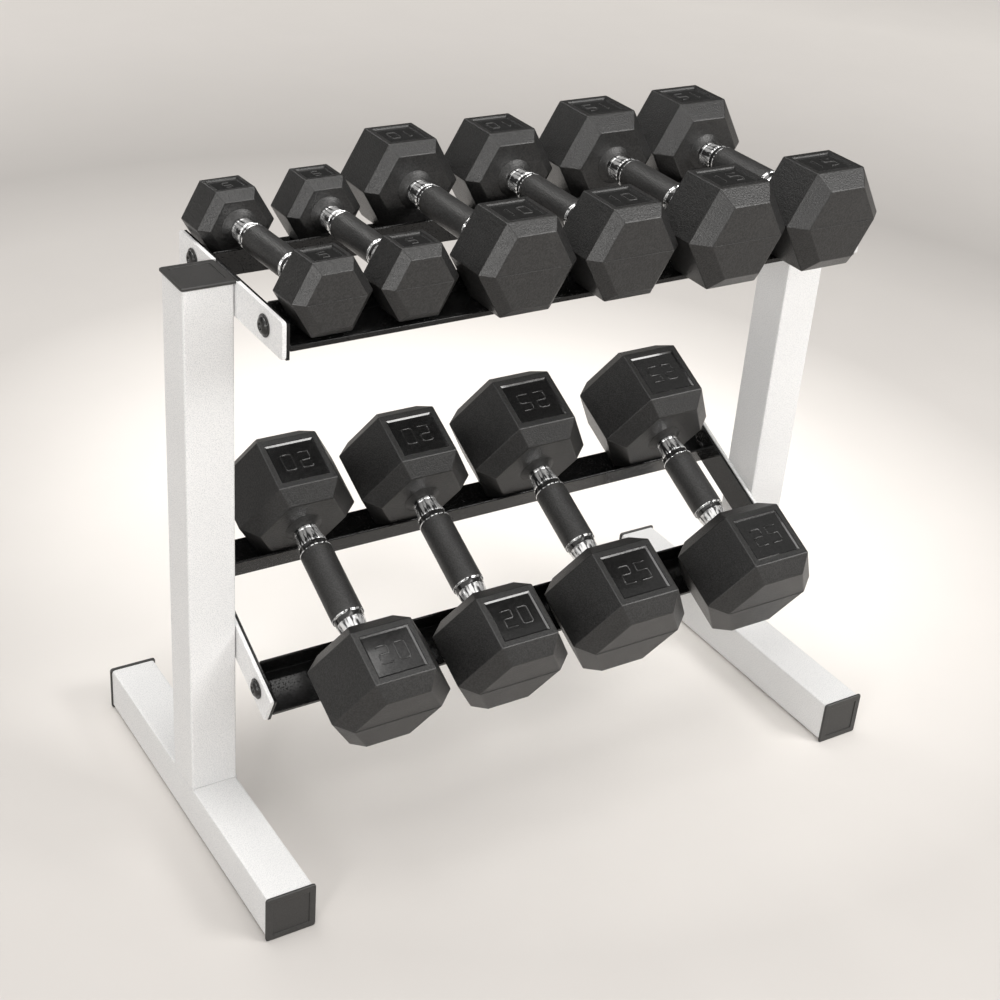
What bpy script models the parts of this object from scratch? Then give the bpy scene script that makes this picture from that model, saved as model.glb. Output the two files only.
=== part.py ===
"""Two-tier dumbbell rack, loaded with ten hexagonal dumbbells in five sizes.

Metres. +X runs along the rack to the right, +Y to the back and +Z up. The origin is on
the floor, under the middle of the rack.
"""

import math

import bmesh
import bpy
from mathutils import Matrix

GAP = 0.0003  # between pieces that touch

# Square tube of the two end frames
TUBE = 0.0508
TUBE_WALL = 0.002
TUBE_RADIUS = 0.0035
TUBE_X = 0.3569  # centre line of each end frame
FOOT_LENGTH = 0.4178
UPRIGHT_TOP = 0.619

# Plastic end caps
CAP_WIDTH = 0.0542
CAP_FLANGE = 0.0033
CAP_PLUG = 0.018
CAP_PLUG_WALL = 0.003
CAP_PANEL = 0.040
CAP_PANEL_DEPTH = 0.001

FOOT_Z = CAP_WIDTH / 2  # the caps' rims carry the rack, just below the tube
FOOT_TOP = FOOT_Z + TUBE / 2

# Trays. In a tray's own frame, Y runs up its slope to the back and Z is square to it.
# Its origin is the front top corner of the bracket plates, on the rack's middle plane.
# A rail is named by its outer long edge and by the seat side of its upturned flange.
UPPER = {"y": -0.124, "z": 0.622, "tilt": 0.0, "length": 0.230, "bolts": (0.036, 0.196)}
LOWER = {"y": -0.1066, "z": 0.2044, "tilt": 25.0, "length": 0.207, "bolts": (0.028, 0.179)}
UPPER["rails"] = ((0.0, 0.045), (0.230, 0.168))
LOWER["rails"] = ((0.0, 0.0455), (0.207, 0.167))
PLATE_OUT = TUBE_X - TUBE / 2 - GAP  # outer face of a bracket plate
PLATE = 0.004
PLATE_DEPTH = 0.036
PLATE_RADIUS = 0.003
BAR = 0.003
BAR_DROP = 0.001  # the end bars' top edge stands this far below the plates'
BAR_DEPTH = 0.036
SEAT = 0.023  # depth of the dumbbells' seat below the plates' top edge
SHEET = 0.003
LIP = 0.006  # turned-down outer edge of a rail, its sheet included
BOLT_DROP = 0.0172
HOLE_R = 0.0043
SHANK_R = 0.004
BOLT_HEAD_R = 0.0108
BOLT_HEAD = 0.0052
NUT_R = 0.00635
NUT = 0.0062

# Dumbbells: across the flats, head length, end chamfer, head centre from the middle,
# then the handle's radii: grip, collar at the grip, collar at the head, rubber neck
SIZES = {
    "05": (0.0696, 0.0533, 0.0088, 0.0965, 0.0143, 0.0136, 0.0112, 0.0160),
    "10": (0.0923, 0.0728, 0.0106, 0.1107, 0.0155, 0.0146, 0.0120, 0.0172),
    "15": (0.1024, 0.0825, 0.0150, 0.1123, 0.0163, 0.0150, 0.0122, 0.0175),
    "20": (0.1151, 0.0911, 0.0152, 0.1194, 0.0175, 0.0156, 0.0126, 0.0180),
    "25": (0.1253, 0.0997, 0.0163, 0.1182, 0.0175, 0.0156, 0.0126, 0.0180),
}
NECK = 0.005
COLLAR = 0.020
BAND = 0.008
SPIGOT_R = 0.009
SPIGOT = 0.024

# Tray, size, side, place along the rack, distance behind the tray's origin, turn. The
# smallest pair hangs by its front necks on the rail's flange, so it sits higher and leans.
PLACES = (
    (UPPER, "05", "left", -0.2872, 0.1133, 1.5),
    (UPPER, "05", "right", -0.1970, 0.1133, 0.0),
    (UPPER, "10", "left", -0.0963, 0.1163, 0.0),
    (UPPER, "10", "right", 0.0158, 0.1102, 0.0),
    (UPPER, "15", "left", 0.1294, 0.0988, 0.0),
    (UPPER, "15", "right", 0.2488, 0.0988, 0.0),
    (LOWER, "20", "left", -0.2311, 0.0935, 0.0),
    (LOWER, "20", "right", -0.0900, 0.0935, 0.0),
    (LOWER, "25", "left", 0.0555, 0.0990, 0.0),
    (LOWER, "25", "right", 0.2315, 0.0990, 0.0),
)
HUNG = {"05": (0.0146, -1.12)}  # height of the handle's axis over the plates, and lean


def clear_scene():
    for obj in list(bpy.data.objects):
        bpy.data.objects.remove(obj, do_unlink=True)


def collection(name):
    made = bpy.data.collections.new(name)
    bpy.context.scene.collection.children.link(made)
    return made


def material(name, colour, roughness, metallic=0.0):
    made = bpy.data.materials.new(name)
    made.use_nodes = True
    shader = made.node_tree.nodes["Principled BSDF"]
    shader.inputs["Base Color"].default_value = (*colour, 1.0)
    shader.inputs["Roughness"].default_value = roughness
    shader.inputs["Metallic"].default_value = metallic
    return made


def place(obj, group, parent=None, at=(0, 0, 0), turn=(0, 0, 0)):
    """Link the object and put it at a location and a turn in degrees."""
    group.objects.link(obj)
    obj.parent = parent
    obj.location = at
    obj.rotation_euler = [math.radians(a) for a in turn]
    return obj


def empty(name, parent=None, at=(0, 0, 0), turn=(0, 0, 0)):
    obj = bpy.data.objects.new(name, None)
    obj.empty_display_size = 0.05
    return place(obj, PARTS, parent, at, turn)


def bar_mesh(name, size, along, radius, segments=2):
    """A bar whose four long edges, those that run along one axis, are rounded."""
    bm = bmesh.new()
    bmesh.ops.create_cube(bm, size=1.0)
    bmesh.ops.scale(bm, vec=size, verts=bm.verts)
    axis = "XYZ".index(along)
    long_edges = [
        edge
        for edge in bm.edges
        if abs((edge.verts[0].co - edge.verts[1].co)[axis]) > size[axis] / 2
    ]
    bmesh.ops.bevel(
        bm, geom=long_edges, offset=radius, segments=segments, profile=0.5, affect="EDGES"
    )
    mesh = bpy.data.meshes.new(name)
    bm.to_mesh(mesh)
    bm.free()
    return mesh


def cylinder_mesh(name, radius, length, steps, end_radius=None):
    """A cylinder or a cone's frustum along Z, centred, end_radius at its +Z end."""
    bm = bmesh.new()
    bmesh.ops.create_cone(
        bm,
        cap_ends=True,
        segments=steps,
        radius1=radius,
        radius2=radius if end_radius is None else end_radius,
        depth=length,
    )
    mesh = bpy.data.meshes.new(name)
    bm.to_mesh(mesh)
    bm.free()
    return mesh


def turned(name, profile, steps):
    """A solid turned about Z from (radius, height) points that run down its outer side."""
    mesh = bpy.data.meshes.new(name)
    edges = [(i, i + 1) for i in range(len(profile) - 1)]
    mesh.from_pydata([(r, 0.0, z) for r, z in profile], edges, [])
    obj = bpy.data.objects.new(name, mesh)
    screw = obj.modifiers.new("Turn", "SCREW")
    screw.axis = "Z"
    screw.steps = steps
    screw.render_steps = steps
    screw.use_merge_vertices = True
    screw.merge_threshold = 0.00002
    return obj


def tool(name, mesh, parent=None, at=(0, 0, 0), turn=(0, 0, 0)):
    """A helper solid for a Boolean: drawn as wire and left out of renders."""
    obj = place(bpy.data.objects.new(name, mesh), CUTTERS, parent, at, turn)
    obj.hide_render = True
    obj.display_type = "WIRE"
    return obj


def boolean(obj, other, operation="DIFFERENCE"):
    modifier = obj.modifiers.new(other.name, "BOOLEAN")
    modifier.operation = operation
    modifier.solver = "EXACT"
    modifier.object = other


def bevel(obj, width, segments=1, angle=30.0):
    modifier = obj.modifiers.new("Edges", "BEVEL")
    modifier.width = width
    modifier.segments = segments
    modifier.limit_method = "ANGLE"
    modifier.angle_limit = math.radians(angle)
    modifier.use_clamp_overlap = True


def finished_mesh(obj, name):
    """The mesh of an object with its modifiers applied, for copies to share."""
    bpy.context.view_layer.update()
    graph = bpy.context.evaluated_depsgraph_get()
    mesh = bpy.data.meshes.new_from_object(obj.evaluated_get(graph))
    mesh.name = name
    bpy.data.objects.remove(obj, do_unlink=True)
    return mesh


def part(name, mesh, slot, parent=None, at=(0, 0, 0), turn=(0, 0, 0), smooth=None):
    """A named piece of the object with its material."""
    mesh.materials.clear()
    mesh.materials.append(MATERIALS[slot])
    if smooth:
        mesh.shade_smooth()
        mesh.set_sharp_from_angle(angle=math.radians(smooth))
    return place(bpy.data.objects.new(name, mesh), PARTS, parent, at, turn)


def cap_mesh():
    """A square plug cap, its flange's outer face at Z = 0 and its plug below."""
    flange = bar_mesh("cap_flange", (CAP_WIDTH, CAP_WIDTH, CAP_FLANGE), "Z", 0.003)
    flange.transform(Matrix.Translation((0, 0, -CAP_FLANGE / 2)))
    cap = tool("cap_master", flange)
    bevel(cap, 0.0008, angle=60.0)
    plug_width = TUBE - 2 * TUBE_WALL - 2 * GAP
    hollow_width = plug_width - 2 * CAP_PLUG_WALL
    plug = bar_mesh("cap_plug", (plug_width, plug_width, CAP_PLUG + 0.001), "Z", 0.003)
    hollow = bar_mesh("cap_hollow", (hollow_width, hollow_width, CAP_PLUG + 0.002), "Z", 0.002)
    panel = bar_mesh("cap_panel", (CAP_PANEL, CAP_PANEL, 2 * CAP_PANEL_DEPTH), "Z", 0.001, 1)
    tools = (
        (tool("cap_plug", plug, at=(0, 0, -CAP_FLANGE - CAP_PLUG / 2 + 0.0005)), "UNION"),
        (tool("cap_hollow", hollow, at=(0, 0, -CAP_FLANGE - CAP_PLUG / 2 - 0.001)), "DIFFERENCE"),
        (tool("cap_panel", panel), "DIFFERENCE"),
    )
    for other, operation in tools:
        boolean(cap, other, operation)
    return finished_mesh(cap, "end_cap")


def make_end_frame(side, sign, caps):
    """Foot and upright of one end, with a cap in each open end."""
    x = sign * TUBE_X
    inner = TUBE - 2 * TUBE_WALL
    foot = part(
        f"foot_{side}",
        bar_mesh(f"foot_{side}", (TUBE, FOOT_LENGTH, TUBE), "Y", TUBE_RADIUS),
        "frame_paint",
        at=(x, 0, FOOT_Z),
        smooth=40,
    )
    bore = bar_mesh("foot_bore", (inner, FOOT_LENGTH + 0.01, inner), "Y", TUBE_RADIUS - TUBE_WALL)
    boolean(foot, tool(f"foot_bore_{side}", bore, at=(x, 0, FOOT_Z)))
    low = FOOT_TOP + GAP
    height = UPRIGHT_TOP - low
    upright = part(
        f"upright_{side}",
        bar_mesh(f"upright_{side}", (TUBE, TUBE, height), "Z", TUBE_RADIUS),
        "frame_paint",
        at=(x, 0, low + height / 2),
        smooth=40,
    )
    bore = bar_mesh("upright_bore", (inner, inner, height + 0.01), "Z", TUBE_RADIUS - TUBE_WALL)
    boolean(upright, tool(f"upright_bore_{side}", bore, at=(x, 0, low + height / 2)))
    top = UPRIGHT_TOP + GAP + CAP_FLANGE
    part(f"upright_cap_{side}", caps, "cap_plastic", at=(x, 0, top))
    out = FOOT_LENGTH / 2 + GAP + CAP_FLANGE
    part(f"foot_cap_front_{side}", caps, "cap_plastic", at=(x, -out, FOOT_Z), turn=(90, 0, 0))
    part(f"foot_cap_rear_{side}", caps, "cap_plastic", at=(x, out, FOOT_Z), turn=(-90, 0, 0))


def rail(name, edge, flange, span):
    """A folded sheet: its outer edge is turned down, and its flange stands up from the seat."""
    outward = 1 if edge > flange else -1
    seat = -SEAT - SHEET / 2
    outer = edge - outward * SHEET / 2
    inner = flange - outward * SHEET / 2
    bm = bmesh.new()
    outline = [(outer, -SEAT - LIP), (outer, seat), (inner, seat), (inner, 0.0)]
    row = [bm.verts.new((-span / 2, y, z)) for y, z in outline]
    edges = [bm.edges.new(pair) for pair in zip(row, row[1:])]
    swept = bmesh.ops.extrude_edge_only(bm, edges=edges)
    moved = [v for v in swept["geom"] if isinstance(v, bmesh.types.BMVert)]
    bmesh.ops.translate(bm, vec=(span, 0, 0), verts=moved)
    bmesh.ops.recalc_face_normals(bm, faces=bm.faces)
    mesh = bpy.data.meshes.new(name)
    bm.to_mesh(mesh)
    bm.free()
    obj = part(name, mesh, "tray_paint")
    fold = obj.modifiers.new("Sheet", "SOLIDIFY")
    fold.thickness = SHEET
    fold.offset = 0.0
    fold.use_even_offset = True
    bevel(obj, 0.0009, angle=50.0)
    return obj


def bolt_mesh():
    """A carriage bolt with its nut, the underside of its domed head at Z = 0."""
    stack = PLATE + BAR + 3 * GAP
    end = -stack - GAP - NUT - 0.001
    dome = [
        (BOLT_HEAD_R * math.cos(a), 0.0012 + (BOLT_HEAD - 0.0012) * math.sin(a))
        for a in [math.radians(30 * i) for i in range(3, -1, -1)]
    ]
    dome[0] = (0.0, BOLT_HEAD)
    profile = dome + [(BOLT_HEAD_R, 0.0), (SHANK_R, 0.0), (SHANK_R, end + 0.0005)]
    profile += [(SHANK_R - 0.0005, end), (0.0, end)]
    bolt = turned("bolt_master", profile, 12)
    CUTTERS.objects.link(bolt)
    at = (0, 0, -stack - GAP - NUT / 2)
    nut = tool("nut", cylinder_mesh("nut", NUT_R, NUT, 6), at=at)
    boolean(bolt, nut, "UNION")
    return finished_mesh(bolt, "bolt")


def make_tray(label, tray, bolts):
    frame = empty(f"tray_{label}", at=(0, tray["y"], tray["z"]), turn=(tray["tilt"], 0, 0))
    length = tray["length"]
    bar_x = PLATE_OUT - PLATE - GAP - BAR / 2
    span = 2 * (bar_x - BAR / 2 - GAP)
    for side, sign in (("left", -1), ("right", 1)):
        plate = part(
            f"bracket_{label}_{side}",
            bar_mesh("bracket", (PLATE, length, PLATE_DEPTH), "X", PLATE_RADIUS),
            "frame_paint",
            frame,
            (sign * (PLATE_OUT - PLATE / 2), length / 2, -PLATE_DEPTH / 2),
            smooth=40,
        )
        bar = part(
            f"end_bar_{label}_{side}",
            bar_mesh("end_bar", (BAR, length, BAR_DEPTH), "X", 0.001, 1),
            "tray_paint",
            frame,
            (sign * bar_x, length / 2, -BAR_DROP - BAR_DEPTH / 2),
        )
        if label == "upper":
            low = UPRIGHT_TOP - GAP - tray["z"]
            relief = bar_mesh("cap_relief", (0.02, CAP_WIDTH + 0.001, 0.02), "X", 0.0005, 1)
            at = (sign * TUBE_X - sign * 0.0285, -tray["y"], low + 0.01)
            boolean(plate, tool(f"cap_relief_{side}", relief, frame, at))
        for number, y in enumerate(tray["bolts"]):
            place_name = ("front", "rear")[number]
            at = (sign * bar_x, y, -BOLT_DROP)
            drill = cylinder_mesh("drill", HOLE_R, 0.03, 12)
            hole = tool(f"hole_{label}_{side}_{place_name}", drill, frame, at, (0, 90, 0))
            boolean(plate, hole)
            boolean(bar, hole)
            head = (sign * (PLATE_OUT + GAP), y, -BOLT_DROP)
            name = f"bolt_{label}_{side}_{place_name}"
            part(name, bolts, "bolt_black", frame, head, (0, sign * 90, 0), smooth=35)
    for where, (edge, flange) in zip(("front", "rear"), tray["rails"]):
        rail(f"rail_{label}_{where}", edge, flange, span).parent = frame
    return frame


def head_mesh(size):
    """A rubber head: its handle side faces -Z, with a short neck and a blind bore."""
    flats, length, chamfer, _, _, _, tip, neck = SIZES[size]
    corner = flats / math.sqrt(3)
    inset = corner - chamfer / math.cos(math.radians(30))
    half = length / 2
    profile = [(0.0, half), (inset, half), (corner, half - chamfer)]
    profile += [(corner, chamfer - half), (inset, -half), (0.0, -half)]
    head = turned(f"head_{size}_master", profile, 6)
    CUTTERS.objects.link(head)
    cone = cylinder_mesh("neck", tip + 0.0015, NECK + 0.004, 16, neck)
    neck_tool = tool(f"neck_{size}", cone, at=(0, 0, -half - NECK / 2 + 0.002))
    boolean(head, neck_tool, "UNION")
    depth = SPIGOT + GAP
    drill = cylinder_mesh("bore", SPIGOT_R + GAP, depth + 0.01, 16)
    bore = tool(f"bore_{size}", drill, at=(0, 0, -half - NECK + depth / 2 - 0.005))
    boolean(head, bore)
    return finished_mesh(head, f"head_{size}")


def handle_mesh(size):
    """A turned bar: a grip, then at each end a narrower band, a collar and a spigot."""
    _, length, _, middle, grip, collar, tip, _ = SIZES[size]
    end = middle - length / 2 - NECK - GAP
    inner = end - COLLAR
    band = inner - BAND
    half = [
        (grip, band),
        (grip - 0.0018, band),
        (grip - 0.0018, inner),
        (collar, inner),
        (tip, end),
        (SPIGOT_R, end),
        (SPIGOT_R, end + SPIGOT),
        (0.0, end + SPIGOT),
    ]
    profile = half[::-1] + [(r, -z) for r, z in half]
    handle = turned(f"handle_{size}_master", profile, 16)
    CUTTERS.objects.link(handle)
    return finished_mesh(handle, f"handle_{size}")


def make_dumbbell(frame, size, side, x, y, turn, heads, handles):
    """Two heads and the handle between them, lying on the seat of a tray."""
    flats = SIZES[size][0]
    middle = SIZES[size][3]
    name = f"dumbbell_{size}_{side}"
    height, lean = HUNG.get(size, (-SEAT + GAP + flats / 2, 0.0))
    centre = empty(name, frame, (x, y, height), (lean, 0, turn))
    front = part(f"{name}_front_head", heads[size], "head_rubber", centre, smooth=20)
    front.location.y = -middle
    front.rotation_euler.x = math.radians(90)
    rear = part(f"{name}_rear_head", heads[size], "head_rubber", centre, smooth=20)
    rear.location.y = middle
    rear.rotation_euler.x = math.radians(-90)
    part(f"{name}_handle", handles[size], "handle_chrome", centre, turn=(90, 0, 0), smooth=35)


clear_scene()
PARTS = collection("dumbbell_rack")
CUTTERS = collection("cutters")
MATERIALS = {
    "frame_paint": material("frame_paint", (0.74, 0.74, 0.73), 0.45),
    "tray_paint": material("tray_paint", (0.012, 0.012, 0.013), 0.38),
    "cap_plastic": material("cap_plastic", (0.022, 0.022, 0.024), 0.5),
    "bolt_black": material("bolt_black", (0.02, 0.02, 0.022), 0.35, 0.6),
    "head_rubber": material("head_rubber", (0.028, 0.027, 0.028), 0.55),
    "handle_chrome": material("handle_chrome", (0.62, 0.63, 0.65), 0.12, 1.0),
}
CAPS = cap_mesh()
make_end_frame("left", -1, CAPS)
make_end_frame("right", 1, CAPS)
BOLTS = bolt_mesh()
FRAMES = [(UPPER, make_tray("upper", UPPER, BOLTS)), (LOWER, make_tray("lower", LOWER, BOLTS))]
HEADS = {size: head_mesh(size) for size in SIZES}
HANDLES = {size: handle_mesh(size) for size in SIZES}
for tray, size, side, x, y, turn in PLACES:
    frame = next(made for kind, made in FRAMES if kind is tray)
    make_dumbbell(frame, size, side, x, y, turn, HEADS, HANDLES)
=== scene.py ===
"""Looks of the dumbbell rack: painted frame, gloss black trays, ten rubber hex dumbbells.

Metres, +Z up, the front towards -Y, the same frame as the CAD model.
"""

import math

import bmesh
import bpy
from mathutils import Matrix, Vector


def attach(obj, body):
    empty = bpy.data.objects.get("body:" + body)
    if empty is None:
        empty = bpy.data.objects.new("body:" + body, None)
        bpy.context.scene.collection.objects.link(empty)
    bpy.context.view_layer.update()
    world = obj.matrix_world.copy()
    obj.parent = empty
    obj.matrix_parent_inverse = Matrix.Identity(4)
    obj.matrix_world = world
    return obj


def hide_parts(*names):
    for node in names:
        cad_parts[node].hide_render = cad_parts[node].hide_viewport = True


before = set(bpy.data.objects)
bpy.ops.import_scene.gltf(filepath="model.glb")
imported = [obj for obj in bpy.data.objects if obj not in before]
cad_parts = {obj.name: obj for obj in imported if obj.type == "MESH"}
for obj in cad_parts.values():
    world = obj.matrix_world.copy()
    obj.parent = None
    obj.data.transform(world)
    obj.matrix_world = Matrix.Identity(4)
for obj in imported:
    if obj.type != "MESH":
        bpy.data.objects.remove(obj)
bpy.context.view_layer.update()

# The rack's own sizes, as in the CAD model
GAP = 0.0003
TUBE = 0.0508
TUBE_X = 0.3569
FOOT_TOP = 0.0525
PLATE_OUT = 0.3312
SEAT = 0.023
BOLT_DROP = 0.0172
BOLT_HEAD_R = 0.0108
BOLT_HEAD = 0.0052
NUT_R = 0.00635
NUT = 0.0062
NUT_FACE = 0.0079  # from the bolt head's underside to the nut
SHANK_R = 0.004
WASHER = 0.0013
SOCKET_R = 0.0033
WELD_BEAD = 0.0011
TRAYS = {
    "upper": {"y": -0.124, "z": 0.622, "tilt": 0.0, "bolts": (0.036, 0.196)},
    "lower": {"y": -0.1066, "z": 0.2044, "tilt": 25.0, "bolts": (0.028, 0.179)},
}

# Across the flats, head length, end chamfer, head centre from the middle, then the radii:
# grip, collar at the grip, collar at the head, rubber neck
SIZES = {
    "05": (0.0696, 0.0533, 0.0088, 0.0965, 0.0143, 0.0136, 0.0112, 0.0160),
    "10": (0.0923, 0.0728, 0.0106, 0.1107, 0.0155, 0.0146, 0.0120, 0.0172),
    "15": (0.1024, 0.0825, 0.0150, 0.1123, 0.0163, 0.0150, 0.0122, 0.0175),
    "20": (0.1151, 0.0911, 0.0152, 0.1194, 0.0175, 0.0156, 0.0126, 0.0180),
    "25": (0.1253, 0.0997, 0.0163, 0.1182, 0.0175, 0.0156, 0.0126, 0.0180),
}
NECK = 0.005
COLLAR = 0.020
BAND = 0.008
LARGE_FLATS = 0.11  # wider heads have gloss numerals and a long gloss recess slope
RECESS_MARGIN = 0.058  # this and the numerals' height and pen are parts of the flats
RECESS_DEPTH = 0.0018
NUMERAL_HEIGHT = 0.17
NUMERAL_WIDTH = 0.60  # of the height
NUMERAL_STEP = 1.62  # of the width
PEN = 0.0085

# Tray, size, side, place across and along the tray, and turn in degrees
PLACES = (
    ("upper", "05", "left", -0.2872, 0.1133, 1.5),
    ("upper", "05", "right", -0.1970, 0.1133, 0.0),
    ("upper", "10", "left", -0.0963, 0.1163, 0.0),
    ("upper", "10", "right", 0.0158, 0.1102, 0.0),
    ("upper", "15", "left", 0.1294, 0.0988, 0.0),
    ("upper", "15", "right", 0.2488, 0.0988, 0.0),
    ("lower", "20", "left", -0.2311, 0.0935, 0.0),
    ("lower", "20", "right", -0.0900, 0.0935, 0.0),
    ("lower", "25", "left", 0.0555, 0.0990, 0.0),
    ("lower", "25", "right", 0.2315, 0.0990, 0.0),
)
HUNG = {"05": (0.0146, -1.12)}  # axis height over the plates, and lean

LAMP_COLOUR = (1.0, 0.985, 0.965)
CAMERA_AT = (-0.9231, -1.3658, 1.2563)
CAMERA_AZIMUTH = math.radians(-33.7848)
CAMERA_ELEVATION = math.radians(30.1521)
CAMERA_ROLL = math.radians(4.8073)
CAMERA_LENS = 62.77  # mm, on a sensor 36 mm wide

# Mesh work: what counts as on the axis, as one point, as one plane, as an edge to ease
ON_AXIS = 1e-7
WELD_DISTANCE = 2e-6
FLAT_ANGLE = math.radians(0.6)
EASED_ANGLE = math.radians(32.0)
NORMAL_WEIGHT = 100
TURN_STEPS = {"neck": 40, "handle": 48, "bolt": 36, "shank": 24, "nut": 6}

# Places in a head's list of materials, and in a handle's
SKIN, SKIN_EDGE, GLOSS = 0, 1, 2
BRIGHT, DARK, SOFT = 0, 1, 2

# Digits as pen strokes on a grid one wide and two high
STROKES = {
    "0": ((0.0, 0.15), (0.15, 0.0), (0.85, 0.0), (1.0, 0.15), (1.0, 1.85), (0.85, 2.0),
          (0.15, 2.0), (0.0, 1.85), (0.0, 0.15)),
    "1": ((0.2, 1.7), (0.5, 2.0), (0.5, 0.0)),
    "2": ((0.0, 1.85), (0.15, 2.0), (0.85, 2.0), (1.0, 1.85), (1.0, 1.2), (0.85, 1.05),
          (0.15, 1.05), (0.0, 0.9), (0.0, 0.0), (1.0, 0.0)),
    "5": ((1.0, 2.0), (0.0, 2.0), (0.0, 1.1), (0.85, 1.1), (1.0, 0.95), (1.0, 0.15),
          (0.85, 0.0), (0.0, 0.0)),
}


# ---------------------------------------------------------------- materials

class Surface:
    """A Principled surface whose grain is measured in metres on the piece itself."""

    def __init__(self, name):
        self.material = bpy.data.materials.new(name)
        self.material.use_nodes = True
        self.tree = self.material.node_tree
        self.shader = self.tree.nodes["Principled BSDF"]
        place = self.tree.nodes.new("ShaderNodeTexCoord")
        self.place = place.outputs["Object"]

    def node(self, kind, **inputs):
        made = self.tree.nodes.new(kind)
        for key, value in inputs.items():
            made.inputs[key.replace("_", " ")].default_value = value
        return made

    def link(self, out, into):
        self.tree.links.new(out, into)

    def noise(self, scale, detail=2.0, rough=0.5, stretch=None):
        made = self.node("ShaderNodeTexNoise", Scale=scale, Detail=detail, Roughness=rough)
        source = self.place
        if stretch:
            mapping = self.node("ShaderNodeMapping", Scale=stretch)
            self.link(source, mapping.inputs["Vector"])
            source = mapping.outputs["Vector"]
        self.link(source, made.inputs["Vector"])
        return made.outputs["Fac"]

    def ramp(self, source, stops):
        made = self.tree.nodes.new("ShaderNodeValToRGB")
        elements = made.color_ramp.elements
        while len(elements) < len(stops):
            elements.new(0.5)
        for element, (at, colour) in zip(elements, stops):
            element.position = at
            element.color = (*colour, 1.0)
        self.link(source, made.inputs["Fac"])
        return made.outputs["Color"]

    def mix(self, factor, a, b, blend="MIX"):
        """Inputs 6 and 7 and output 2 are the Mix node's colours."""
        made = self.tree.nodes.new("ShaderNodeMix")
        made.data_type = "RGBA"
        made.blend_type = blend
        self.link(a, made.inputs[6])
        self.link(b, made.inputs[7])
        if isinstance(factor, float):
            made.inputs[0].default_value = factor
        else:
            self.link(factor, made.inputs[0])
        return made.outputs[2]

    def roughness(self, source, low, high):
        made = self.node("ShaderNodeMapRange", To_Min=low, To_Max=high)
        self.link(source, made.inputs["Value"])
        self.link(made.outputs["Result"], self.shader.inputs["Roughness"])

    def bumps(self, *layers):
        """Each layer is (height source, distance in metres, strength)."""
        below = None
        for source, distance, strength in layers:
            made = self.node("ShaderNodeBump", Distance=distance, Strength=strength)
            self.link(source, made.inputs["Height"])
            if below:
                self.link(below, made.inputs["Normal"])
            below = made.outputs["Normal"]
        self.link(below, self.shader.inputs["Normal"])

    def colour(self, source):
        self.link(source, self.shader.inputs["Base Color"])

    def set(self, **values):
        for key, value in values.items():
            self.shader.inputs[key.replace("_", " ")].default_value = value


def grey(value, warm=0.0):
    return (value * (1 + warm), value, value * (1 - warm))


def make_frame_paint():
    """Off-white powder coat with a fine fleck."""
    s = Surface("powder_coat")
    fleck = s.noise(950, 2.5, 0.6)
    cloud = s.noise(14, 3, 0.5)
    body = s.ramp(fleck, [
        (0.32, grey(0.60, -0.012)), (0.5, grey(0.76)), (0.68, grey(0.84, 0.01)),
    ])
    wash = s.ramp(cloud, [(0.3, grey(0.96)), (0.7, grey(1.0))])
    s.colour(s.mix(1.0, body, wash, "MULTIPLY"))
    s.roughness(s.noise(500, 2), 0.42, 0.60)
    s.bumps((s.noise(650, 2.5, 0.6), 0.00012, 0.5), (s.noise(160, 2), 0.0002, 0.25))
    return s.material


def make_tray_paint():
    """Gloss black paint with sparse pimples, which glint where they face a light."""
    s = Surface("hammered_black")
    s.colour(s.ramp(s.noise(260, 3), [(0.35, grey(0.002)), (0.65, grey(0.006))]))
    s.roughness(s.noise(420, 2), 0.08, 0.14)
    pimples = s.ramp(s.noise(620, 1.0), [(0.60, grey(0.0)), (0.70, grey(1.0))])
    s.bumps((pimples, 0.0008, 1.0))
    s.set(Specular_IOR_Level=0.35)
    return s.material


def make_rubber(name, dark, light, rough, grain=1.0):
    """Moulded rubber: fine pebbled grain, with faint bloom in large soft patches."""
    s = Surface(name)
    body = s.ramp(s.noise(620, 2, 0.6), [(0.38, grey(dark, 0.02)), (0.62, grey(light, 0.02))])
    bloom = s.ramp(s.noise(22, 4, 0.55), [(0.35, grey(0.80)), (0.75, grey(1.15))])
    s.colour(s.mix(1.0, body, bloom, "MULTIPLY"))
    s.roughness(s.noise(60, 4, 0.6), rough - 0.05, rough + 0.07)
    s.bumps((s.noise(40, 3), 0.0005, 0.25 * grain), (s.noise(620, 2, 0.6), 0.00045, 1.0 * grain))
    s.set(Specular_IOR_Level=0.62)
    return s.material


def make_panel():
    """The smooth glossy floor and numerals of a head's recess."""
    s = Surface("gloss_panel")
    s.colour(s.ramp(s.noise(300, 2), [(0.3, grey(0.006)), (0.7, grey(0.012))]))
    s.roughness(s.noise(90, 3), 0.12, 0.20)
    s.bumps((s.noise(240, 2), 0.0002, 0.25))
    s.set(Coat_Weight=0.5, Coat_Roughness=0.05, Specular_IOR_Level=0.5)
    return s.material


def make_chrome():
    """Plated steel. The streaks along the bar are a pattern, in place of reflections."""
    s = Surface("chrome")
    streaks = s.noise(1.0, 1.5, 0.5, (290, 290, 12))
    s.colour(s.ramp(streaks, [
        (0.41, grey(0.06, -0.01)), (0.46, grey(0.45, -0.01)),
        (0.52, grey(0.94)), (0.64, grey(0.97)),
    ]))
    s.set(Metallic=0.72, Specular_IOR_Level=0.8)
    s.roughness(s.noise(220, 3, 0.6, (0.2, 0.2, 6.0)), 0.06, 0.20)
    s.bumps((s.noise(1.0, 2, 0.5, (420, 420, 20)), 0.0001, 0.35))
    return s.material


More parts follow.
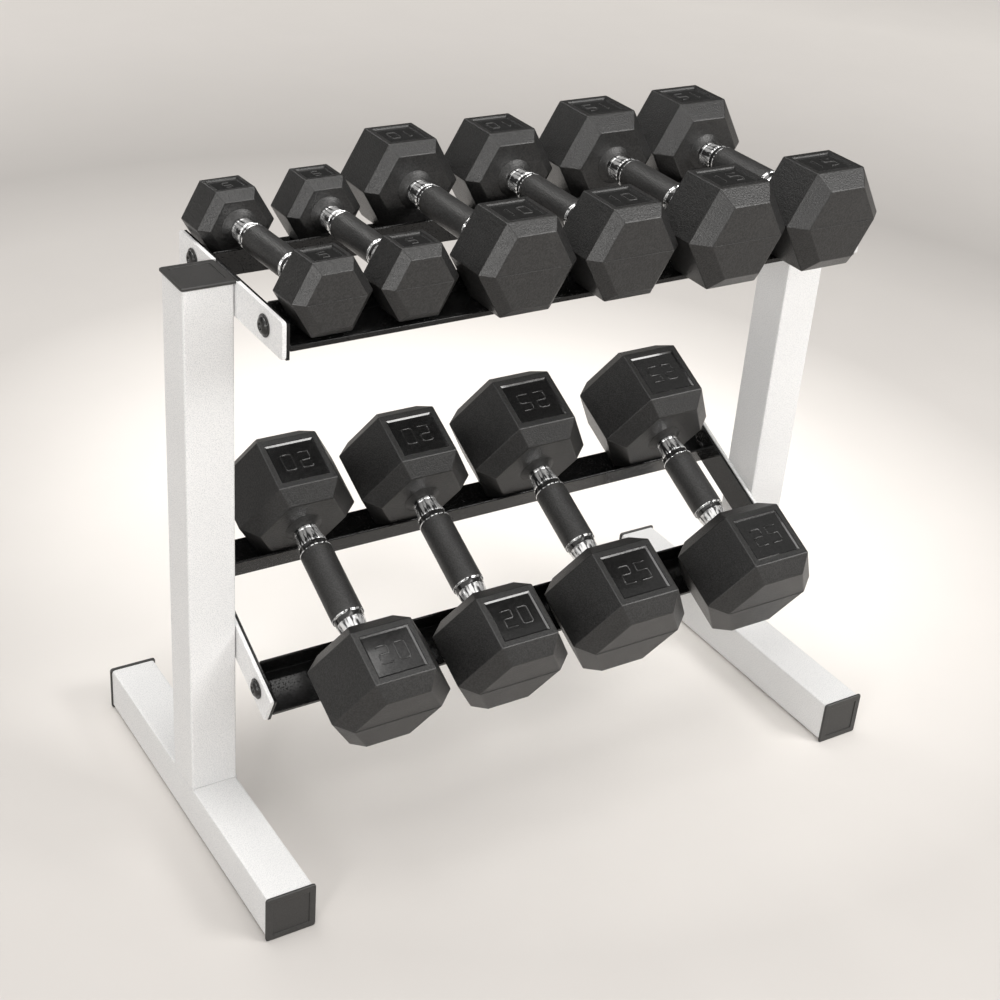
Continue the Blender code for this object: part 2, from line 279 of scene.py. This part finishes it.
def make_band():
    """The gloss black ring between the grip and the collar."""
    s = Surface("gloss_band")
    s.colour(s.ramp(s.noise(300, 2), [(0.3, grey(0.010)), (0.7, grey(0.018))]))
    s.roughness(s.noise(200, 2), 0.10, 0.20)
    s.set(Coat_Weight=0.5, Coat_Roughness=0.06)
    return s.material


def make_plastic():
    """Moulded cap plastic with a light leather grain."""
    s = Surface("cap_plastic_grain")
    s.colour(s.ramp(s.noise(600, 3), [(0.3, grey(0.020, 0.03)), (0.7, grey(0.034, 0.03))]))
    s.roughness(s.noise(120, 3), 0.32, 0.44)
    s.bumps((s.noise(700, 3, 0.6), 0.0001, 0.5))
    return s.material


def make_bolt():
    """Black oxide steel, slightly oily."""
    s = Surface("black_oxide")
    s.set(Metallic=0.85)
    s.colour(s.ramp(s.noise(400, 3), [(0.3, grey(0.035)), (0.7, grey(0.075))]))
    s.roughness(s.noise(300, 3), 0.16, 0.30)
    s.bumps((s.noise(500, 2), 0.00005, 0.3))
    return s.material


def make_floor():
    """Warm white paper, palest round the rack: a painted pool of light, with painted shade
    darkest in a ring about 1.5 m out and lighter again farther off.
    """
    s = Surface("studio_floor")
    shift = s.node("ShaderNodeMapping", Location=(-0.24, -0.42, 0.0))
    s.link(s.place, shift.inputs["Vector"])
    length = s.tree.nodes.new("ShaderNodeVectorMath")
    length.operation = "LENGTH"
    s.link(shift.outputs["Vector"], length.inputs[0])
    reach = s.node("ShaderNodeMapRange", From_Max=3.0)
    s.link(length.outputs["Value"], reach.inputs["Value"])
    # painted light and shade by distance from the rack: a painted pool of light in the middle,
    # painted shade darkest about 1.5 m out
    paper = s.ramp(reach.outputs["Result"], [
        (0.15, (0.930, 0.898, 0.862)), (0.19, (0.820, 0.790, 0.758)),
        (0.22, (0.730, 0.702, 0.674)), (0.29, (0.570, 0.547, 0.526)),
        (0.39, (0.545, 0.523, 0.503)),
        (0.50, (0.465, 0.446, 0.429)), (0.79, (0.760, 0.729, 0.701)),
        (1.00, (0.930, 0.893, 0.855)),
    ])
    mottle = s.ramp(s.noise(6, 4, 0.6), [(0.3, grey(0.985)), (0.7, grey(1.0))])
    s.colour(s.mix(1.0, paper, mottle, "MULTIPLY"))
    s.roughness(s.noise(30, 3), 0.75, 0.9)
    s.set(Specular_IOR_Level=0.2)
    return s.material


PAINT = make_frame_paint()
TRAY_PAINT = make_tray_paint()
RUBBER = make_rubber("rubber", 0.002, 0.018, 0.40)
RUBBER_EDGE = make_rubber("rubber_edge", 0.005, 0.018, 0.38, 0.6)
GRIP = make_rubber("grip_rubber", 0.008, 0.026, 0.46, 0.8)
PANEL = make_panel()
CHROME = make_chrome()
BAND_BLACK = make_band()
PLASTIC = make_plastic()
OXIDE = make_bolt()


# ---------------------------------------------------------------- mesh tools

def add_object(name, mesh, materials, body, matrix=None, weighted=True):
    """A finished piece: smooth shaded, riding on its body."""
    for polygon in mesh.polygons:
        polygon.use_smooth = True
    for m in materials:
        mesh.materials.append(m)
    obj = bpy.data.objects.new(name, mesh)
    bpy.context.scene.collection.objects.link(obj)
    if matrix:
        obj.matrix_world = matrix
    if weighted:
        normals = obj.modifiers.new("Normals", "WEIGHTED_NORMAL")
        normals.weight = NORMAL_WEIGHT
        normals.keep_sharp = True
    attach(obj, body)
    return obj


def to_mesh(bm, name):
    bmesh.ops.recalc_face_normals(bm, faces=bm.faces)
    mesh = bpy.data.meshes.new(name)
    bm.to_mesh(mesh)
    bm.free()
    return mesh


def softened(node, material, width):
    """A CAD solid with its sharp edges eased, which stands for the CAD node."""
    bm = bmesh.new()
    bm.from_mesh(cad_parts[node].data)
    bmesh.ops.remove_doubles(bm, verts=bm.verts, dist=WELD_DISTANCE)
    bmesh.ops.dissolve_limit(bm, angle_limit=FLAT_ANGLE, verts=bm.verts, edges=bm.edges)
    mesh = to_mesh(bm, f"{node}_skin")
    obj = add_object(f"{node}_skin", mesh, [material], "rack", weighted=False)
    ease = obj.modifiers.new("Ease", "BEVEL")
    ease.width = width
    ease.segments = 2
    ease.limit_method = "ANGLE"
    ease.angle_limit = EASED_ANGLE
    normals = obj.modifiers.new("Normals", "WEIGHTED_NORMAL")
    normals.weight = NORMAL_WEIGHT
    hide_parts(node)
    return obj


def level_ring(bm, radius, z, steps):
    """Points evenly about Z, the first one on +X."""
    ring = []
    for k in range(steps):
        angle = 2 * math.pi * k / steps
        ring.append(bm.verts.new((radius * math.cos(angle), radius * math.sin(angle), z)))
    return ring


def lathe(bm, profile, steps):
    """Turns (radius, height, material) points about Z.

    A point's material belongs to the band between it and the point before it.
    """
    rings = []
    for r, z, _ in profile:
        if r < ON_AXIS:
            rings.append([bm.verts.new((0, 0, z))])
            continue
        rings.append(level_ring(bm, r, z, steps))
    for (a, b), point in zip(zip(rings, rings[1:]), profile[1:]):
        for k in range(steps):
            n = (k + 1) % steps
            corners = []
            for v in (a[k % len(a)], b[k % len(b)], b[n % len(b)], a[n % len(a)]):
                if v not in corners:
                    corners.append(v)
            bm.faces.new(corners).material_index = point[2]


def tube_along(points, radius, closed, name):
    """A round bead along points, as a mesh."""
    curve = bpy.data.curves.new(name, "CURVE")
    curve.dimensions = "3D"
    curve.bevel_depth = radius
    curve.bevel_resolution = 2
    curve.use_fill_caps = True
    spline = curve.splines.new("POLY")
    spline.points.add(len(points) - 1)
    for point, at in zip(spline.points, points):
        point.co = (*at, 1.0)
    spline.use_cyclic_u = closed
    holder = bpy.data.objects.new(name, curve)
    bpy.context.scene.collection.objects.link(holder)
    bpy.context.view_layer.update()
    shown = holder.evaluated_get(bpy.context.evaluated_depsgraph_get())
    mesh = bpy.data.meshes.new_from_object(shown)
    bpy.data.objects.remove(holder)
    bpy.data.curves.remove(curve)
    return mesh


# ---------------------------------------------------------------- heads

def head_shell(size):
    """The hexagonal head, its axis along Z and its handle towards -Z.

    It has eased edges, a recess in the top flat, a mould line and a neck.
    """
    flats, length, chamfer, _, _, _, tip, neck = SIZES[size]
    corner = flats / math.sqrt(3)
    inset = corner - chamfer / math.cos(math.radians(30))
    half = length / 2
    bm = bmesh.new()
    rings = []
    shoulder = half - chamfer
    for r, z in ((inset, half), (corner, shoulder), (corner, -shoulder), (inset, -half)):
        rings.append(level_ring(bm, r, z, 6))
    for a, b in zip(rings, rings[1:]):
        for k in range(6):
            bm.faces.new((a[k], b[k], b[(k + 1) % 6], a[(k + 1) % 6]))
    bm.faces.new(rings[0])
    bm.faces.new(list(reversed(rings[-1])))
    bmesh.ops.recalc_face_normals(bm, faces=bm.faces)
    ease = 0.0008 + 0.004 * (flats - 0.07)
    bmesh.ops.bevel(
        bm, geom=bm.edges, offset=ease, segments=3, profile=0.6, affect="EDGES",
        material=SKIN_EDGE,
    )
    bm.normal_update()
    top = max((f for f in bm.faces if f.normal.y > 0.999), key=lambda f: f.calc_area())
    for width in (RECESS_MARGIN * flats, 0.0005):
        bmesh.ops.inset_individual(bm, faces=[top], thickness=width)
    walls = []
    large = flats > LARGE_FLATS
    slope = 0.0026 if large else 0.0008
    for run, fall in ((0.0002, 0.0005), (0.0003, 0.0003), (slope, 0.0010)):
        walls += bmesh.ops.inset_individual(bm, faces=[top], thickness=run, depth=-fall)["faces"]
    for face in walls + [top]:
        face.material_index = GLOSS if large or face is top else SKIN
        for edge in face.edges:
            edge.smooth = False
    add_mould_line(bm, inset, half)
    neck_profile = [
        (0.0, -half + 0.002, SKIN),
        (neck + 0.0026, -half + 0.0004, SKIN),
        (neck + 0.0024, -half - 0.0003, SKIN),
        (neck + 0.0008, -half - 0.0008, SKIN),
        (neck, -half - 0.0015, SKIN_EDGE),
        (neck * 0.55 + tip * 0.45, -half - 0.0027, SKIN),
        (tip + 0.0012, -half - NECK + 0.0010, SKIN),
        (tip + 0.0008, -half - NECK + 0.0003, SKIN_EDGE),
        (tip + 0.0002, -half - NECK, SKIN),
        (0.0, -half - NECK, SKIN),
    ]
    lathe(bm, neck_profile, TURN_STEPS["neck"])
    return bm


def add_mould_line(bm, inset, half):
    """A low ridge across the end face, where the two halves of the mould met."""
    reach, width, height = inset - 0.0012, 0.0006, 0.0006
    ends = []
    for x in (-reach, reach):
        ends.append([
            bm.verts.new((x, -width, half - 0.0002)),
            bm.verts.new((x, 0, half + height)),
            bm.verts.new((x, width, half - 0.0002)),
        ])
    a, b = ends
    for i in range(3):
        face = bm.faces.new((a[i], a[(i + 1) % 3], b[(i + 1) % 3], b[i]))
        face.material_index = SKIN_EDGE
    bm.faces.new(list(reversed(a)))
    bm.faces.new(b)


def head_mesh(size):
    """The shell with raised numerals in its recess."""
    flats = SIZES[size][0]
    bm = head_shell(size)
    height = NUMERAL_HEIGHT * flats
    width = NUMERAL_WIDTH * height
    step = width * NUMERAL_STEP
    text = size.lstrip("0")
    floor = flats / 2 - RECESS_DEPTH
    for number, digit in enumerate(text):
        centre = (number - (len(text) - 1) / 2) * step
        # local +Z is away from the handle, so a digit's foot points along +Z
        points = [
            (centre + (x - 0.5) * width, floor, -(y / 2 - 0.5) * height)
            for x, y in STROKES[digit]
        ]
        closed = digit == "0"
        mesh = tube_along(points[:-1] if closed else points, PEN * flats, closed, "numeral")
        before = len(bm.faces)
        bm.from_mesh(mesh)
        bm.faces.ensure_lookup_table()
        for face in bm.faces[before:]:
            face.material_index = GLOSS if flats > LARGE_FLATS else SKIN_EDGE
        bpy.data.meshes.remove(mesh)
    return to_mesh(bm, f"head_{size}")


def handle_mesh(size):
    """Grip, bright ring, dark band and chrome collar, mirrored about the middle."""
    _, length, _, middle, grip, collar, tip, _ = SIZES[size]
    end = middle - length / 2 - NECK - GAP
    inner = end - COLLAR
    band = inner - BAND
    half = [
        (0.0, end),
        (tip - 0.0004, end),
        (tip, end - 0.0004),
        (tip + 0.0001, end - 0.0026),
        (tip - 0.0005, end - 0.0030),
        (tip - 0.0005, end - 0.0036),
        (tip + 0.0003, end - 0.0041),
        (tip * 0.80 + collar * 0.20, inner + 0.0120),
        (tip * 0.48 + collar * 0.52, inner + 0.0075),
        (tip * 0.16 + collar * 0.84, inner + 0.0040),
        (collar, inner + 0.0018),
        (collar, inner + 0.0005),
        (collar - 0.0006, inner),
        (grip - 0.0022, inner - 0.0002),
        (grip - 0.0018, inner - 0.0006),
        (grip - 0.0018, band + 0.0022),
        (grip - 0.0006, band + 0.0020),
        (grip - 0.0001, band + 0.0015),
        (grip, band + 0.0008),
        (grip - 0.0004, band + 0.0003),
        (grip - 0.0004, band - 0.0001),
        (grip, band - 0.0006),
        (grip, band - 0.010),
    ]
    profile = half + [(r, -z) for r, z in reversed(half)]
    points = [(*profile[0], BRIGHT)]
    for low, high in zip(profile, profile[1:]):
        z = abs(low[1] + high[1]) / 2
        if z > inner - 0.0003 or band + 0.0002 < z < band + 0.00212:
            kind = BRIGHT
        elif z > band:
            kind = DARK
        else:
            kind = SOFT
        points.append((*high, kind))
    bm = bmesh.new()
    lathe(bm, points, TURN_STEPS["handle"])
    return to_mesh(bm, f"handle_{size}")


def turn_x(degrees):
    return Matrix.Rotation(math.radians(degrees), 4, "X")


def tray_matrix(tray):
    return Matrix.Translation((0, tray["y"], tray["z"])) @ turn_x(tray["tilt"])


def build_dumbbells():
    heads = {size: head_mesh(size) for size in SIZES}
    handles = {size: handle_mesh(size) for size in SIZES}
    for tray, size, side, x, y, turn in PLACES:
        flats, _, _, middle = SIZES[size][:4]
        height, lean = HUNG.get(size, (-SEAT + GAP + flats / 2, 0.0))
        at = Matrix.Translation((x, y, height))
        spin = Matrix.Rotation(math.radians(turn), 4, "Z") @ turn_x(lean)
        centre = tray_matrix(TRAYS[tray]) @ at @ spin
        name = f"dumbbell_{size}_{side}"
        for where, about in (("front", 0), ("rear", 180)):
            half_turn = Matrix.Rotation(math.radians(about), 4, "Z")
            place = centre @ half_turn @ Matrix.Translation((0, -middle, 0)) @ turn_x(90)
            mesh = heads[size].copy()
            head = add_object(
                f"{name}_{where}_head_rubber", mesh, [RUBBER, RUBBER_EDGE, PANEL],
                name, place,
            )
            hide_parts(f"{name}_{where}_head")
        bar = add_object(
            f"{name}_handle_bar", handles[size].copy(), [CHROME, BAND_BLACK, GRIP],
            name, centre @ turn_x(90),
        )
        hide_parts(f"{name}_handle")


# ---------------------------------------------------------------- rack

def build_end_frames():
    for side, sign in (("left", -1), ("right", 1)):
        softened(f"foot_{side}", PAINT, 0.0004)
        softened(f"upright_{side}", PAINT, 0.0004)
        for cap in ("upright_cap", "foot_cap_front", "foot_cap_rear"):
            softened(f"{cap}_{side}", PLASTIC, 0.00025)
        reach = TUBE / 2 + 0.0002
        corners = [(-1, -1), (1, -1), (1, 1), (-1, 1)]
        points = []
        for x, y in corners:
            points.append((sign * TUBE_X + x * (reach - 0.002), y * reach, FOOT_TOP + 0.0004))
            points.append((sign * TUBE_X + x * reach, y * (reach - 0.002), FOOT_TOP + 0.0004))
        order = [0, 1, 3, 2, 4, 5, 7, 6]
        ring = [points[i] for i in order]
        mesh = tube_along(ring, WELD_BEAD, True, f"weld_foot_{side}")
        add_object(f"weld_foot_{side}", mesh, [PAINT], "rack", weighted=False)


def build_trays():
    for label, tray in TRAYS.items():
        matrix = tray_matrix(tray)
        for where in ("front", "rear"):
            softened(f"rail_{label}_{where}", TRAY_PAINT, 0.0005)
        for side, sign in (("left", -1), ("right", 1)):
            softened(f"bracket_{label}_{side}", PAINT, 0.0004)
            softened(f"end_bar_{label}_{side}", TRAY_PAINT, 0.0004)
            for number, where in enumerate(("front", "rear")):
                at = (sign * (PLATE_OUT + GAP), tray["bolts"][number], -BOLT_DROP)
                turn = Matrix.Rotation(math.radians(sign * 90), 4, "Y")
                node = f"bolt_{label}_{side}_{where}"
                bolt = add_object(
                    f"{node}_steel", bolt_mesh(node), [OXIDE], "rack",
                    matrix @ Matrix.Translation(at) @ turn,
                )
                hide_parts(node)


def bolt_mesh(name):
    """Button head with a round socket over a washer, and the nut on its shank."""
    bm = bmesh.new()
    head_r = BOLT_HEAD_R * 0.80
    foot = WASHER + 0.0006
    crown = []
    for degrees in (0, 14, 28, 42, 55):
        angle = math.radians(degrees)
        crown.append((head_r * math.cos(angle), foot + (BOLT_HEAD - foot) * math.sin(angle)))
    profile = [
        (SHANK_R, 0.0002, 0), (BOLT_HEAD_R - 0.0003, 0.0, 0), (BOLT_HEAD_R, 0.0003, 0),
        (BOLT_HEAD_R, WASHER - 0.0003, 0), (BOLT_HEAD_R - 0.0004, WASHER, 0),
        (head_r + 0.0004, WASHER, 0), (head_r, WASHER + 0.0002, 0),
    ]
    profile += [(r, z, 0) for r, z in crown]
    top = crown[-1][1]
    profile += [
        (SOCKET_R + 0.0004, top + 0.00005, 0), (SOCKET_R, top - 0.0004, 0),
        (SOCKET_R * 0.96, top - 0.0022, 0), (0.0, top - 0.0026, 0),
    ]
    lathe(bm, profile, TURN_STEPS["bolt"])
    nut_low = -NUT_FACE - NUT
    shank = [
        (0.0, 0.0, 0), (SHANK_R, 0.0, 0), (SHANK_R, nut_low - 0.0006, 0),
        (SHANK_R - 0.0005, nut_low - 0.001, 0), (0.0, nut_low - 0.001, 0),
    ]
    lathe(bm, shank, TURN_STEPS["shank"])
    nut = [
        (SHANK_R, -NUT_FACE, 0), (NUT_R - 0.0008, -NUT_FACE, 0), (NUT_R, -NUT_FACE - 0.0006, 0),
        (NUT_R, nut_low + 0.0006, 0), (NUT_R - 0.0008, nut_low, 0), (SHANK_R, nut_low, 0),
    ]
    lathe(bm, nut, TURN_STEPS["nut"])
    return to_mesh(bm, name)


# ---------------------------------------------------------------- stage

def build_stage():
    bm = bmesh.new()
    bmesh.ops.create_grid(bm, x_segments=1, y_segments=1, size=14.0)
    mesh = to_mesh(bm, "floor")
    mesh.materials.append(make_floor())
    floor = bpy.data.objects.new("floor", mesh)
    bpy.context.scene.collection.objects.link(floor)


def add_light(name, at, target, size, power, height=None, spread=180):
    """A warm area lamp. The spread is in degrees."""
    lamp = bpy.data.lights.new(name, "AREA")
    lamp.shape = "RECTANGLE" if height else "SQUARE"
    lamp.size = size
    if height:
        lamp.size_y = height
    lamp.energy = power
    lamp.color = LAMP_COLOUR
    lamp.spread = math.radians(spread)
    obj = bpy.data.objects.new(name, lamp)
    bpy.context.scene.collection.objects.link(obj)
    obj.location = at
    aim = Vector(target) - Vector(at)
    obj.rotation_euler = aim.to_track_quat("-Z", "Y").to_euler()


def build_world():
    """A dim studio, lighter towards the front left than behind the rack."""
    world = bpy.data.worlds.new("studio")
    bpy.context.scene.world = world
    world.use_nodes = True
    tree = world.node_tree
    place = tree.nodes.new("ShaderNodeTexCoord")
    facing = tree.nodes.new("ShaderNodeVectorMath")
    facing.operation = "DOT_PRODUCT"
    facing.inputs[1].default_value = Vector((-0.45, -0.75, 0.48)).normalized()
    spread = tree.nodes.new("ShaderNodeMapRange")
    spread.inputs["From Min"].default_value = -1.0
    ramp = tree.nodes.new("ShaderNodeValToRGB")
    ramp.color_ramp.elements[0].position = 0.40
    ramp.color_ramp.elements[0].color = (0.065, 0.064, 0.062, 1.0)
    ramp.color_ramp.elements[1].position = 0.95
    ramp.color_ramp.elements[1].color = (1.05, 1.034, 1.012, 1.0)
    tree.links.new(place.outputs["Generated"], facing.inputs[0])
    tree.links.new(facing.outputs["Value"], spread.inputs["Value"])
    tree.links.new(spread.outputs["Result"], ramp.inputs["Fac"])
    tree.links.new(ramp.outputs["Color"], tree.nodes["Background"].inputs["Color"])
    tree.nodes["Background"].inputs["Strength"].default_value = 1.0


def build_lights():
    add_light("key", (1.85, -2.2, 2.4), (0.0, 0.0, 0.25), 1.6, 66.0, 1.0)
    add_light("left", (-2.12, -1.7, 1.3), (-0.1, -0.15, 0.64), 0.5, 3.2, 0.6, 70)
    add_light("top", (-0.1, 0.3, 2.8), (0.1, 0.2, 0.0), 2.2, 48.0)
    add_light("back", (-0.15, 2.7, 2.2), (0.0, 0.2, 0.3), 0.5, 9.0, 1.0)
    add_light("edge", (-1.5, 2.5, 0.9), (0.0, 0.0, 0.4), 0.25, 1.2, 1.2)


def build_camera():
    ahead = Vector((
        -math.sin(CAMERA_AZIMUTH) * math.cos(CAMERA_ELEVATION),
        math.cos(CAMERA_AZIMUTH) * math.cos(CAMERA_ELEVATION),
        -math.sin(CAMERA_ELEVATION),
    ))
    level = ahead.cross(Vector((0, 0, 1))).normalized()
    above = level.cross(ahead)
    right = math.cos(CAMERA_ROLL) * level + math.sin(CAMERA_ROLL) * above
    up = -math.sin(CAMERA_ROLL) * level + math.cos(CAMERA_ROLL) * above
    lens = bpy.data.cameras.new("camera")
    lens.lens = CAMERA_LENS
    lens.sensor_width = 36.0
    lens.clip_end = 60.0
    camera = bpy.data.objects.new("camera", lens)
    bpy.context.scene.collection.objects.link(camera)
    turn = Matrix((right, up, -ahead)).transposed().to_4x4()
    camera.matrix_world = Matrix.Translation(CAMERA_AT) @ turn
    bpy.context.scene.camera = camera


build_end_frames()
build_trays()
build_dumbbells()
build_stage()
build_world()
build_lights()
build_camera()
bpy.context.scene.view_settings.view_transform = "Standard"
